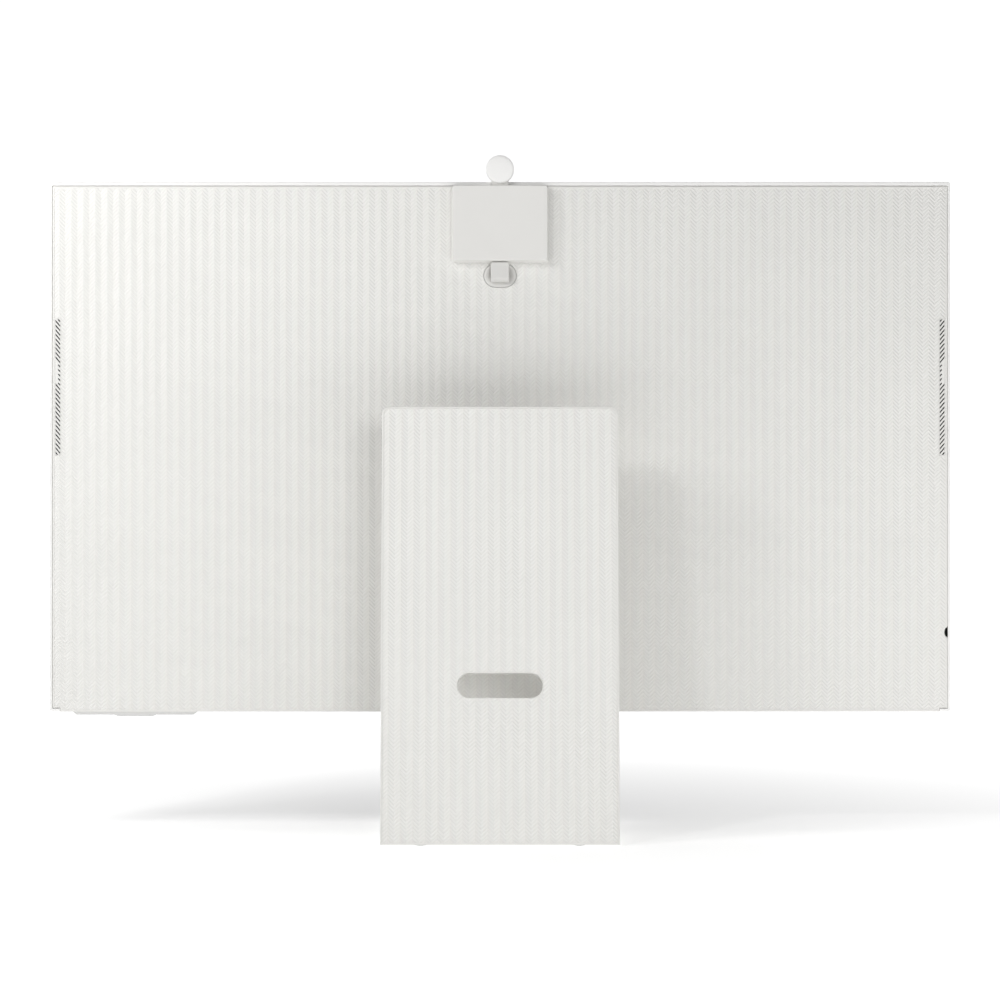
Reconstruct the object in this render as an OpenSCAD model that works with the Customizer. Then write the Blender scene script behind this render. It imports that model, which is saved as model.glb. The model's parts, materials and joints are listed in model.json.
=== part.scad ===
// Slim all-in-one computer: a flat 31.5 inch screen that holds the computer, on an L-shaped
// stand with height and tilt adjustment, and a small camera that clips on at the top.
// Millimetres. +Z is up and the screen faces -Y. The origin is on the desk, at the middle
// of the base.

/* [Screen] */
// Overall width of the screen
screen_w = 713.6; // [710:0.1:720]
// Overall height of the screen
screen_h = 419.6; // [416:0.1:424]
// Overall thickness of the screen
screen_t = 11.4; // [11:0.1:14]
// Height of the screen's lower edge above the desk
screen_z = 93.4; // [80:0.1:110]
// Position of the screen's rear face along Y
screen_y = -9; // [-14:0.1:-8]
// Height of the white strip below the picture
chin_h = 13; // [11:0.1:15]
// Thickness of the rear cover
cover_t = 1.8; // [1.6:0.1:2]
// Open line between the rear cover and the frame
seam = 0.6; // [0.4:0.1:0.8]

/* [Stand] */
// Width of the stand, both base and upright
stand_w = 181; // [178:0.5:184]
// Depth of the base
base_d = 193.5; // [190:0.5:200]
// Height of the base's upper face above the desk
base_h = 7.5; // [7:0.1:9]
// Thickness of the upright
upright_t = 16; // [15.8:0.1:17]
// Length of the upright along its own lean
upright_l = 333.7; // [331:0.1:338]
// Forward lean of the upright in degrees
lean_deg = 6.43; // [6:0.01:7]
// Height of the cable hole's middle along the upright
hole_up = 120; // [115:0.5:124]
// Width of the cable hole
hole_w = 65.2; // [55:0.1:66]
// Height of the cable hole
hole_h = 19.1; // [15:0.1:20]

/* [Hinge and lift] */
// Height of the tilt axis above the screen's lower edge
axis_up = 132; // [130:0.5:136]
// Distance of the tilt axis behind the screen's rear face
axis_back = 12; // [11.5:0.1:13]
// Radius of the hinge pin
pin_r = 4; // [3.5:0.1:4.5]
// Radial clearance of the hinge pin in its bores
pin_play = 0.05; // [0.03:0.01:0.08]
// Half width of the lifting arm
arm_half_w = 31; // [29:0.5:32]
// Travel of the lift below the modelled height
lift_down = 44; // [40:0.5:44]
// Travel of the lift above the modelled height
lift_up = 76; // [70:0.5:76]

/* [Camera] */
// Width of the camera block against the cover
camera_w = 77.5; // [74:0.5:80]
// Height of the camera block against the cover
camera_h = 60.7; // [58:0.1:62]
// Thickness of the camera block
camera_t = 7; // [6.5:0.1:8]
// Slope of the block's sides, from the cover to the rear face
camera_draft = 1.9; // [1:0.1:3]
// Radius of the camera head's rear disc
head_r = 11.05; // [10.6:0.05:11.4]
// Radius of the camera's barrel, over the screen's upper edge
barrel_r = 9.2; // [8.5:0.1:9.5]
// Gap between the camera and the screen
camera_gap = 0.35; // [0.3:0.05:0.5]

/* [Grilles, socket and controls] */
// Number of slots in each speaker grille
grille_slots = 30; // [26:1:30]
// Distance between two slots along the edge of the screen
slot_pitch = 3.6; // [3.4:0.1:3.6]
// Angle of the slots in degrees
slot_deg = 50; // [45:1:55]
// Width of one slot
slot_w = 1; // [0.8:0.1:1.2]
// Width of the camera socket in the cover
socket_w = 25.7; // [24:0.1:28]
// Height of the camera socket in the cover
socket_h = 18.4; // [18:0.1:20]
// Width of the control pod under the screen
pod_w = 100.7; // [90:0.1:104]
// Depth of the control pod below the screen
pod_h = 3.1; // [2.8:0.1:4]
// Length of the power button
button_w = 35; // [30:0.1:44]

/* [Hidden] */
$fn = 64;
e = 0.01;            // a cut runs this far past the face it opens
far = 400;           // longer than anything it cuts

off_white = [0.92, 0.915, 0.9];
dark_plastic = [0.12, 0.12, 0.13];
steel = [0.62, 0.63, 0.65];
board_green = [0.1, 0.35, 0.22];

// Screen, from the rear face forwards
front_y = screen_y - screen_t;
top_z = screen_z + screen_h;
half_w = screen_w / 2;
frame_wall = 1.7;
frame_top = 3.1;
frame_bottom = 2.1;
corner_wrap = 8;          // the frame wraps this much of each lower corner
corner_r = 1.6;
cover_half_w = half_w - frame_wall - seam;
cover_top = top_z - frame_top - 0.8;
cover_in = screen_y - cover_t;
glass_y = front_y + 0.2;
glass_t = 1.4;
sheets_y = glass_y + glass_t;
sheets_t = 0.8;
guide_y = sheets_y + sheets_t;
guide_t = 2.2;
reflector_y = guide_y + guide_t;
reflector_t = 0.3;
chassis_y = reflector_y + reflector_t;
chassis_t = 0.8;
inside_y = chassis_y + chassis_t;   // boards sit between here and cover_in
board_y = inside_y + 0.5;
board_t = 1;
parts_y = board_y + board_t;

// Tilt axis and hinge
axis_y = screen_y + axis_back;
axis_z = screen_z + axis_up;
ear_r = 9;
ear_in = arm_half_w + 2;
ear_t = 6;
ear_out = ear_in + ear_t;
plate_t = 2;
plate_half_w = 55;
plate_half_h = 18;
plate_y = cover_in - plate_t;
hinge_screw_x = 48;
hinge_screw_z = 12;
screw_r = 2;
screw_play = 0.05;

// Upright, in its own leaning frame: y = 0 is its rear face, z runs up along it
foot_t = 1;
wall = 1.4;
front_wall = 2;
panel_t = 2;
upright_r = 6;
axis_dy = axis_y - base_d / 2;
axis_dz = axis_z - foot_t;
arm_y = axis_dy * cos(lean_deg) + axis_dz * sin(lean_deg);
arm_z = -axis_dy * sin(lean_deg) + axis_dz * cos(lean_deg);
arm_half_h = 12;
carriage_y = [-13.4, -10.4];
carriage_z = [arm_z - 36, arm_z + 18];
rail_x = 52;
rail_w = 8;
rail_y = [-9.9, -4.5];
rail_z = [142, 326];
spine_y = [-4.5, -2.2];
coil_r = 5.2;
coil_y = -8;
coil_z = arm_z - 24;

// Camera
camera_y = screen_y + camera_gap;
camera_top = top_z - 3.4;
camera_low = camera_top - camera_h;
head_z = top_z + camera_gap + barrel_r + 0.05;
head_back = camera_y + 5.4;
head_front = front_y - 1.2;
head_wall = 1.5;
socket_z = camera_low - socket_h / 2 - 0.9;
neck_half_w = 6.8;
tab_w = 14.6;
tab_low = camera_low - 15.6;
tab_out = camera_y + 5;
tab_in = screen_y - 2;
magnet_x = 24;
magnet_z = camera_low + 34;
magnet_r = 6;

// Speaker grilles, port bay, lock slot and control pod
grille_w = 4.3;
grille_x = cover_half_w - 1.7 - grille_w;
grille_h = grille_slots * slot_pitch;
grille_z = screen_z + 203;
grille_back = screen_y - 0.25;      // the strips sit a little below the cover
short_slots = [16 : 20];            // counted upwards: these reach only half across
bay_half_w = 56;
bay_z = [screen_z + 53, screen_z + 83];
bay_wall = 1;
socket_y = inside_y + 0.6;
usb_x = [-18, 0];
lock_z = screen_z + 62.6;
lock_h = 7.2;
lock_w = 2.3;
pod_x = 289.7;
pod_y = [front_y + 3.2, screen_y - 2];
pod_slope = 4;
button_x = pod_x;
button_slope = 3;
button_low = screen_z - pod_h - 1.1;
button_h = 3;
button_y = [pod_y[0] + 1.3, pod_y[1] - 1.3];
button_gap = 0.35;

// ---- shared shapes ----

// A box from one corner to the opposite one
module span(a, b) { translate(a) cube(b - a); }

// A box between two heights and two depths, centred across the object
module slab_x(half, y, z) { span([-half, y[0], z[0]], [half, y[1], z[1]]); }

// A long hole's shape lying along X, with its ends round, between two depths
module pill(w, h, y) {
    translate([0, y[0], 0]) rotate([90, 0, 0]) mirror([0, 0, 1]) linear_extrude(y[1] - y[0]) {
        square([w - h, h], center = true);
        for (s = [-1, 1]) translate([s * (w - h) / 2, 0]) circle(d = h);
    }
}

// A round bar along Y, and one along X
module bar_y(r, y) { translate([0, y[0], 0]) rotate([-90, 0, 0]) cylinder(r = r, h = y[1] - y[0]); }
module bar_x(r, x) { translate([x[0], 0, 0]) rotate([0, 90, 0]) cylinder(r = r, h = x[1] - x[0]); }

// An upright rectangle with round corners, between two depths
module round_plate(half, z, y, r) {
    translate([0, y[0], 0]) rotate([90, 0, 0]) mirror([0, 0, 1]) linear_extrude(y[1] - y[0]) {
        translate([-half + r, z[0]]) square([2 * (half - r), z[1] - z[0]]);
        translate([-half, z[0] + r]) square([2 * half, z[1] - z[0] - 2 * r]);
        for (x = [-half + r, half - r], h = [z[0] + r, z[1] - r]) translate([x, h]) circle(r);
    }
}

// Puts its children in the upright's leaning frame
module leaning() {
    translate([0, base_d / 2, foot_t]) rotate([lean_deg, 0, 0]) children();
}

// The upright's outline, square below and round at the two upper corners
module upright_outline(inset) {
    half = stand_w / 2 - inset;
    r = upright_r - inset;
    up = upright_l - inset;
    translate([-half, -20]) square([2 * half, up - r + 20]);
    translate([-half + r, -20]) square([2 * (half - r), up + 20]);
    for (s = [-1, 1]) translate([s * (half - r), up - r]) circle(r);
}

module upright_solid(inset, y) {
    translate([0, y[0], 0]) rotate([90, 0, 0]) mirror([0, 0, 1])
        linear_extrude(y[1] - y[0]) upright_outline(inset);
}

// Everything in front of the upright, where the base lies
module keep_before_upright() {
    difference() {
        children();
        leaning() span([-far, -upright_t - 0.1, -50], [far, 50, far]);
    }
}

module hinge_screw_places() {
    for (x = [-hinge_screw_x, hinge_screw_x], z = [-hinge_screw_z, hinge_screw_z])
        translate([x, 0, axis_z + z]) children();
}

module base_screw_places() {
    for (x = [-50, 50], y = [30, 62]) translate([x, y, 0]) children();
}

// ---- stand ----

module base_bottom() {
    color(dark_plastic) difference() {
        keep_before_upright() span([-stand_w / 2 + 2, -base_d / 2 + 2, foot_t],
                                   [stand_w / 2 - 2, base_d / 2, foot_t + 1]);
        base_screw_places() translate([0, 0, foot_t - e]) cylinder(r = 4.2, h = 1 + 2 * e);
    }
}

module base_weight() {
    color(steel) difference() {
        keep_before_upright() span([-stand_w / 2 + 3, -base_d / 2 + 3, foot_t + 1],
                                   [stand_w / 2 - 3, base_d / 2, base_h - 1.6]);
        span([-71, 18, foot_t + 3], [71, far, base_h]);
        base_screw_places() cylinder(r = screw_r + screw_play, h = base_h);
    }
}

module base_cover() {
    color(off_white) difference() {
        keep_before_upright() span([-stand_w / 2, -base_d / 2, foot_t],
                                   [stand_w / 2, base_d / 2, base_h]);
        span([-stand_w / 2 + 1.6, -base_d / 2 + 1.6, 0], [stand_w / 2 - 1.6, far, base_h - 1.5]);
    }
}

module rubber_feet() {
    color([0.2, 0.2, 0.2]) {
        for (x = [-72, 72], y = [-84, 66]) translate([x, y, 0]) cylinder(r = 8, h = foot_t);
        for (x = [-60, 60]) translate([x, 88, 0]) cylinder(r = 5, h = foot_t);
    }
}

module base_screws() {
    color(steel) base_screw_places() {
        translate([0, 0, foot_t + 0.1]) cylinder(r = 3.6, h = 0.9);
        translate([0, 0, foot_t + 1]) cylinder(r = screw_r, h = base_h - foot_t - 2.7);
    }
}

// Front, sides and top of the upright, open to the rear
module upright_housing() {
    arm_slot = [arm_z - arm_half_h - lift_down - 1.5, arm_z + arm_half_h + lift_up + 1.5];
    color(off_white) difference() {
        leaning() upright_solid(0, [-upright_t, 0]);
        span([-far, 0, -50], [far, far, foot_t]);
        difference() {
            leaning() upright_solid(wall, [front_wall - upright_t, e]);
            span([-far, 0, -50], [far, far, foot_t + 1.6]);
        }
        leaning() {
            slab_x(arm_half_w + 1.5, [-upright_t - 1, front_wall - upright_t + 1], arm_slot);
            translate([0, 0, hole_up]) pill(hole_w, hole_h, [-upright_t - 1, 0]);
        }
        span([-71, 60, foot_t + 2.6], [71, 86, base_h - 1.5]);
    }
}

// The textured plate that closes the upright's rear
module upright_panel() {
    color(off_white) difference() {
        leaning() difference() {
            upright_solid(wall + 0.15, [-panel_t, -0.1]);
            translate([0, 0, hole_up]) pill(hole_w, hole_h, [-panel_t - 1, 1]);
        }
        span([-far, 0, -50], [far, far, foot_t + 1.7]);
    }
}

// Steel plate inside the upright, with a foot that runs under the base cover
module spine() {
    color(steel) difference() {
        union() {
            difference() {
                leaning() slab_x(70, spine_y, [0, upright_l - 6]);
                span([-far, 0, -50], [far, far, foot_t + 3]);
            }
            span([-70, 20, foot_t + 3], [70, base_d / 2 - 4.6, base_h - 1.6]);
        }
        leaning() {
            slab_x(30, [-6, 0], [146, upright_l - 16]);
            translate([0, 0, hole_up]) pill(hole_w + 3.6, hole_h + 3.6, [-6, 0]);
        }
        base_screw_places() cylinder(r = screw_r + screw_play, h = base_h);
    }
}

module slide_rails() {
    color(steel) leaning() for (s = [-1, 1])
        span([s * rail_x - rail_w / 2, rail_y[0], rail_z[0]],
             [s * rail_x + rail_w / 2, rail_y[1], rail_z[1]]);
}

module spring_strips() {
    color(steel) leaning() for (s = [-1, 1])
        span([s * 13 - 9, -2.45, 146], [s * 13 + 9, -2.2, upright_l - 16]);
}

module cable_hole_liner() {
    color(off_white) leaning() translate([0, 0, hole_up]) difference() {
        pill(hole_w + 3, hole_h + 3, [front_wall - upright_t, -panel_t]);
        pill(hole_w, hole_h, [-upright_t, 0]);
    }
}

// ---- lift ----

// Plate that slides in the upright, with the arm that carries the screen
module carriage() {
    color(steel) leaning() difference() {
        union() {
            slab_x(60, carriage_y, carriage_z);
            slab_x(arm_half_w, [-50, carriage_y[0] + 1], [arm_z - arm_half_h, arm_z + arm_half_h]);
            slab_x(arm_half_w, [arm_y, -49], [arm_z - ear_r, arm_z + ear_r]);
            translate([0, arm_y, arm_z]) bar_x(ear_r, [-arm_half_w, arm_half_w]);
        }
        translate([0, arm_y, arm_z]) bar_x(pin_r + pin_play, [-60, 60]);
        slab_x(24, [-20, 0], [coil_z - coil_r - 0.5, coil_z + coil_r + 0.5]);
        slab_x(20, [-48, -18], [arm_z - 8, arm_z + 8]);
    }
}

module glide_shoes() {
    color([0.85, 0.85, 0.82]) leaning()
        for (s = [-1, 1], z = [carriage_z[0] + 1, carriage_z[1] - 15]) difference() {
            span([s * rail_x - 7.5, carriage_y[1], z], [s * rail_x + 7.5, rail_y[1] - 0.5, z + 14]);
            span([s * rail_x - rail_w / 2 - 0.35, carriage_y[1] + 0.15, z - 1],
                 [s * rail_x + rail_w / 2 + 0.35, 0, z + 15]);
        }
}

module spring_coils() {
    color(steel) leaning() translate([0, coil_y, coil_z]) {
        for (s = [-1, 1]) bar_x(coil_r, [s * 13 - 9, s * 13 + 9]);
        bar_x(1.5, [-24, 24]);
    }
}

module hinge_pin() {
    color(steel) translate([0, axis_y, axis_z]) bar_x(pin_r, [-ear_out - 4.4, ear_out + 4.4]);
}

module friction_washers() {
    color([0.8, 0.68, 0.4]) translate([0, axis_y, axis_z]) difference() {
        for (s = [0, 1]) mirror([s, 0, 0]) {
            bar_x(7, [arm_half_w, ear_in - 0.4]);
            bar_x(7, [ear_out + 0.35, ear_out + 1.2]);
        }
        bar_x(pin_r + pin_play, [-60, 60]);
    }
}

module hinge_nuts() {
    color(steel) translate([0, axis_y, axis_z]) difference() {
        for (s = [0, 1]) mirror([s, 0, 0]) translate([ear_out + 1.2, 0, 0]) rotate([0, 90, 0])
            cylinder(r = 6.5, h = 3.2, $fn = 6);
        bar_x(pin_r + pin_play, [-60, 60]);
    }
}

module neck_cover() {
    color(off_white) leaning() difference() {
        slab_x(arm_half_w + 3.6, [-52, -17], [arm_z - 15, arm_z + 15]);
        slab_x(arm_half_w + 0.3, [-60, -10], [arm_z - arm_half_h - 0.2, arm_z + arm_half_h + 0.2]);
    }
}

// ---- screen: hinge side ----

module hinge_plate() {
    color(steel) difference() {
        union() {
            slab_x(plate_half_w, [plate_y, cover_in], [axis_z - plate_half_h, axis_z + plate_half_h]);
            for (s = [0, 1]) mirror([s, 0, 0]) {
                span([ear_in, cover_in - e, axis_z - ear_r], [ear_out, axis_y, axis_z + ear_r]);
                translate([0, axis_y, axis_z]) bar_x(ear_r, [ear_in, ear_out]);
            }
        }
        translate([0, axis_y, axis_z]) bar_x(pin_r + pin_play, [-60, 60]);
        hinge_screw_places() bar_y(screw_r + screw_play, [-far, far]);
    }
}

module hinge_screws() {
    color(dark_plastic) hinge_screw_places() {
        bar_y(3.6, [cover_in, cover_in + 1.5]);
        bar_y(screw_r, [inside_y + 0.2, cover_in]);
    }
}

// ---- screen: display, from the rear forwards ----

module panel_chassis() {
    color([0.7, 0.71, 0.72]) difference() {
        union() {
            slab_x(half_w - 4.6, [chassis_y, inside_y], [screen_z + chin_h - 1, top_z - 4.4]);
            hinge_screw_places() bar_y(4.5, [inside_y - e, plate_y]);
        }
        hinge_screw_places() bar_y(screw_r + screw_play, [inside_y, far]);
    }
}

module reflector_sheet() {
    color("white") slab_x(half_w - 6, [reflector_y, chassis_y], [screen_z + 16, top_z - 5]);
}

module light_guide() {
    color([0.85, 0.93, 0.95]) slab_x(half_w - 6, [guide_y, reflector_y], [screen_z + 16, top_z - 5]);
}

module led_bar() {
    led_n = 48;
    step = (2 * half_w - 24) / led_n;
    color([0.95, 0.9, 0.6]) {
        slab_x(half_w - 8, [guide_y, reflector_y], [screen_z + chin_h, screen_z + chin_h + 1.2]);
        for (i = [0 : led_n - 1]) translate([-half_w + 12 + (i + 0.5) * step, 0, screen_z + chin_h + 1.2])
            span([-2, guide_y + 0.4, -e], [2, reflector_y - 0.4, 1]);
    }
}

module optical_sheets() {
    color([0.93, 0.93, 0.93]) slab_x(half_w - 5, [sheets_y, guide_y], [screen_z + 15, top_z - 4.4]);
}

module display_glass() {
    color([0.03, 0.03, 0.035])
        slab_x(half_w - frame_wall - 0.15, [glass_y, sheets_y],
               [screen_z + chin_h + 0.2, top_z - frame_top - 0.15]);
}

module front_chin() {
    color(off_white) slab_x(half_w - frame_wall - 0.15, [front_y + 0.1, sheets_y],
                            [screen_z + frame_bottom + 0.1, screen_z + chin_h]);
}

// ---- screen: casing ----

module mid_frame() {
    color(off_white) difference() {
        round_plate(half_w, [screen_z, top_z], [front_y, screen_y], corner_r);
        slab_x(half_w - frame_wall, [front_y - 1, screen_y + 1],
               [screen_z + frame_bottom, top_z - frame_top]);
        slab_x(half_w - corner_wrap, [screen_y - 3.8, screen_y + 1], [screen_z - 1, screen_z + 3]);
        span([button_x - button_w / 2 - 1.2, button_y[0] - 1.2, screen_z - 1],
             [button_x + button_w / 2 + 1.2, button_y[1] + 0.6, screen_z + 3]);
    }
}

module rear_cover() {
    lip_y = screen_y - 3.6;
    color(off_white) difference() {
        union() {
            slab_x(cover_half_w, [cover_in, screen_y], [screen_z + frame_bottom + 0.9, cover_top]);
            slab_x(half_w - corner_wrap - seam, [cover_in, screen_y], [screen_z, screen_z + 4]);
            slab_x(half_w - corner_wrap - seam, [lip_y, screen_y], [screen_z, screen_z + 1.6]);
        }
        slab_x(plate_half_w + 1, [-far, far], [axis_z - plate_half_h - 1, axis_z + plate_half_h + 1]);
        slab_x(bay_half_w, [-far, far], bay_z);
        translate([0, 0, socket_z]) pill(socket_w + 0.6, socket_h + 0.6, [-far, far]);
        for (s = [0, 1]) mirror([s, 0, 0])
            span([grille_x - 0.1, -far, grille_z - 0.1],
                 [grille_x + grille_w + 0.1, far, grille_z + grille_h + 0.1]);
        span([-cover_half_w - 1, -far, lock_z - lock_h / 2],
             [-cover_half_w + lock_w, far, lock_z + lock_h / 2]);
    }
}

// A strip of slanted slots. The slots climb outwards, and a few of them reach half across.
module grille() {
    inset = 0.3;
    color(off_white) difference() {
        span([grille_x, cover_in, grille_z], [grille_x + grille_w, grille_back, grille_z + grille_h]);
        intersection() {
            span([grille_x + inset, -far, grille_z + inset],
                 [grille_x + grille_w - inset, far, grille_z + grille_h - inset]);
            for (i = [0 : grille_slots])
                translate([grille_x + grille_w / 2, 0, grille_z + i * slot_pitch]) rotate([0, -slot_deg, 0])
                    span([-grille_w, -far, -slot_w / 2], [short(i) ? -0.4 : grille_w, far, slot_w / 2]);
        }
    }
}

// Whether a slot is one of the short ones
function short(i) = len([for (k = short_slots) if (k == i) k]) > 0;

module grille_right() { grille(); }
module grille_left() { mirror([1, 0, 0]) grille(); }

// A flat sealed speaker box behind each grille, with its driver
module speaker() {
    color(dark_plastic) {
        span([302, inside_y + 0.2, grille_z - 4], [half_w - 5, cover_in - 0.3, grille_z + grille_h + 4]);
        translate([280, 0, grille_z + 52]) bar_y(19, [inside_y + 0.2, cover_in - 0.6]);
        span([278, inside_y + 0.2, grille_z + 36], [304, cover_in - 0.6, grille_z + 68]);
    }
}

module speaker_right() { speaker(); }
module speaker_left() { mirror([1, 0, 0]) speaker(); }

// ---- screen: computer ----

module main_board() {
    color(board_green) {
        span([-170, board_y, bay_z[1] + 5], [58, parts_y, axis_z - plate_half_h - 3]);
        span([-170, board_y, axis_z - plate_half_h - 4], [-62, parts_y, axis_z + 76]);
    }
}

module processor() {
    color([0.3, 0.3, 0.32]) {
        span([-122, parts_y, axis_z + 14], [-92, parts_y + 0.6, axis_z + 44]);
        span([-115, parts_y + 0.6, axis_z + 21], [-99, parts_y + 1.2, axis_z + 37]);
    }
}

module memory_chips() {
    color(dark_plastic) for (z = [-6, 52]) for (x = [-124, -110, -96])
        span([x, parts_y, axis_z + z], [x + 10, parts_y + 0.9, axis_z + z + 12]);
}

module heat_spreader() {
    color([0.75, 0.55, 0.4]) span([-140, parts_y + 1.2, axis_z - 12], [-66, parts_y + 1.9, axis_z + 70]);
}

module storage_module() {
    color([0.15, 0.3, 0.5]) span([-167, parts_y + 0.1, axis_z + 24], [-145, parts_y + 1.5, axis_z + 66]);
}

module radio_card() {
    color([0.15, 0.3, 0.5]) span([-167, parts_y + 0.1, axis_z - 14], [-145, parts_y + 1.4, axis_z + 16]);
}

module antennas() {
    color([0.8, 0.7, 0.3]) for (s = [-1, 1])
        span([s * 220 - 20, board_y, top_z - 13], [s * 220 + 20, board_y + 0.8, top_z - 6]);
}

module power_board() {
    color(board_green) {
        span([70, board_y, axis_z - 30], [170, parts_y, axis_z + 40]);
        for (x = [84, 104, 124]) span([x, parts_y - e, axis_z - 16], [x + 12, parts_y + 1.6, axis_z - 4]);
    }
}

module driver_board() {
    color(board_green) {
        span([-150, board_y, screen_z + 18], [150, parts_y, screen_z + 36]);
        span([-20, parts_y - e, screen_z + 22], [-6, parts_y + 1, screen_z + 32]);
    }
}

module ribbon_cables() {
    color([0.85, 0.85, 0.88]) for (x = [-130, -100])
        span([x, board_y + 0.2, screen_z + 36], [x + 20, board_y + 0.5, bay_z[1] + 5]);
}

// ---- screen: sockets ----

// The way through the bay's upper wall for one socket
module socket_cut(x) { span([x[0], socket_y - 0.1, bay_z[1] - 4], [x[1], socket_y + 3.4, bay_z[1] + 1]); }

// A tray sunk in the rear cover, whose upper wall holds sockets that face down
module port_bay() {
    z = bay_z;
    color(off_white) difference() {
        slab_x(bay_half_w - 0.15, [inside_y + 0.2, screen_y - 0.3], [z[0] + 0.15, z[1] - 0.15]);
        slab_x(bay_half_w - bay_wall, [inside_y + 0.8, screen_y + 1], [z[0] + bay_wall, z[1] - bay_wall - 1]);
        for (x = usb_x) socket_cut([x - 4.6, x + 4.6]);
        socket_cut([-41, -34]);
        socket_cut([25, 39]);
    }
}

module usb_sockets() {
    y0 = socket_y;
    color(steel) for (x = usb_x) translate([x, 0, 0]) difference() {
        span([-4.45, y0, bay_z[1] - 1.9], [4.45, y0 + 3.2, bay_z[1] + 4.8]);
        translate([0, y0 + 1.6, bay_z[1] - 2]) linear_extrude(5.8) {
            square([5.8, 2.5], center = true);
            for (s = [-1, 1]) translate([s * 2.9, 0]) circle(d = 2.5);
        }
    }
}

module video_socket() {
    y0 = socket_y;
    color(steel) difference() {
        span([-40.9, y0, bay_z[1] - 1.9], [-34.1, y0 + 2.9, bay_z[1] + 4.8]);
        span([-40.4, y0 + 0.4, bay_z[1] - 2], [-34.6, y0 + 2.5, bay_z[1] + 3.8]);
    }
}

module power_inlet() {
    y0 = socket_y;
    color(dark_plastic) difference() {
        span([25.2, y0, bay_z[1] - 1.9], [38.8, y0 + 3.2, bay_z[1] + 4.8]);
        span([26, y0 + 0.4, bay_z[1] - 2], [38, y0 + 2.8, bay_z[1] + 3.8]);
    }
}

// Steel plate with the security slot, at the cover's edge
module lock_anchor() {
    color(steel) translate([-cover_half_w, 0, lock_z]) difference() {
        span([0.3, cover_in - 1.4, -8], [14, cover_in - 0.1, 8]);
        span([-1, -far, -lock_h / 2], [lock_w, far, lock_h / 2]);
    }
}

// A cup in the cover with spring contacts for the camera's tab
module camera_socket() {
    floor_y = screen_y - 3;
    color([0.87, 0.865, 0.85]) translate([0, 0, socket_z]) {
        difference() {
            pill(socket_w, socket_h, [floor_y - 0.7, screen_y - 0.15]);
            pill(socket_w - 1.6, socket_h - 1.6, [floor_y, screen_y + 1]);
        }
        for (i = [-1.5 : 1.5]) translate([i * 2.6, 0, 0]) bar_y(0.6, [floor_y - e, floor_y + 0.4]);
    }
}

module cover_magnets() {
    color(steel) for (s = [-1, 1])
        translate([s * magnet_x, 0, magnet_z]) bar_y(magnet_r, [cover_in - 1.6, cover_in]);
}

// ---- screen: controls ----

// Housing under the lower edge for the button and the remote-control receiver
module control_pod() {
    half = pod_w / 2;
    color([0.88, 0.88, 0.87]) translate([pod_x, 0, screen_z]) difference() {
        translate([0, pod_y[0], 0]) rotate([90, 0, 0]) mirror([0, 0, 1]) linear_extrude(pod_y[1] - pod_y[0])
            polygon([[-half, 0], [half, 0], [half - pod_slope, -pod_h], [-half + pod_slope, -pod_h]]);
        translate([button_x - pod_x, 0, 0])
            span([-button_w / 2 - button_gap, button_y[0] - button_gap, -pod_h - 1],
                 [button_w / 2 + button_gap, button_y[1] + button_gap, 1]);
        translate([-half + 14, 0, -pod_h / 2]) bar_y(1, [pod_y[0] - 1, pod_y[0] + 2]);
    }
}

module button_switch() {
    color(dark_plastic) translate([button_x, 0, screen_z]) {
        span([-16, button_y[0], 2.3], [16, button_y[1], 3.1]);
        span([-2.2, button_y[0] + 0.6, 1.2], [2.2, button_y[1] - 0.6, 2.3]);
    }
}

module power_button() {
    half = button_w / 2;
    color([0.88, 0.88, 0.87]) translate([button_x, button_y[0], button_low])
        rotate([90, 0, 0]) mirror([0, 0, 1]) linear_extrude(button_y[1] - button_y[0])
            polygon([[-half, button_h], [half, button_h], [half, 1.4], [half - button_slope, 0],
                     [-half + button_slope, 0], [-half, 1.4]]);
}

// ---- camera ----

// The block's outer form: a pad whose four sides slope in towards its rear face
module camera_form(inset) {
    half = camera_w / 2 - inset;
    depth = camera_t - inset;
    tall = camera_h - 2 * inset;
    r = 3;
    d = camera_draft;
    translate([0, camera_y, camera_low + inset]) hull() {
        round_plate(half, [0, tall], [0, 0.6], r);
        round_plate(half - d, [d, tall - 0.4], [depth - 0.5, depth], r);
    }
}

// Rear shell with the neck that rises to the head
module camera_shell() {
    color(off_white) difference() {
        union() {
            camera_form(0);
            slab_x(neck_half_w, [camera_y, camera_y + 4.4], [camera_top - 3, head_z - head_r + 3]);
        }
        camera_form(1.4);
        span([-30, camera_y - 1, camera_low + 2], [30, camera_y + 1.4 + e, camera_top - 4]);
        translate([0, 0, head_z]) bar_y(head_r + 0.02, [-40, 20]);
    }
}

module camera_plate() {
    color([0.8, 0.8, 0.78]) difference() {
        slab_x(29.8, [camera_y, camera_y + 0.8], [camera_low + 2.2, camera_top - 4.2]);
        for (s = [-1, 1]) translate([s * magnet_x, 0, magnet_z]) bar_y(magnet_r + 0.15, [-40, 20]);
    }
}

module camera_board() {
    color(board_green) slab_x(16, [camera_y + 2.2, camera_y + 3.2], [camera_low + 6, camera_top - 8]);
}

module camera_magnets() {
    color(steel) for (s = [-1, 1])
        translate([s * magnet_x, 0, magnet_z]) bar_y(magnet_r, [camera_y, camera_y + 1.6]);
}

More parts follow.
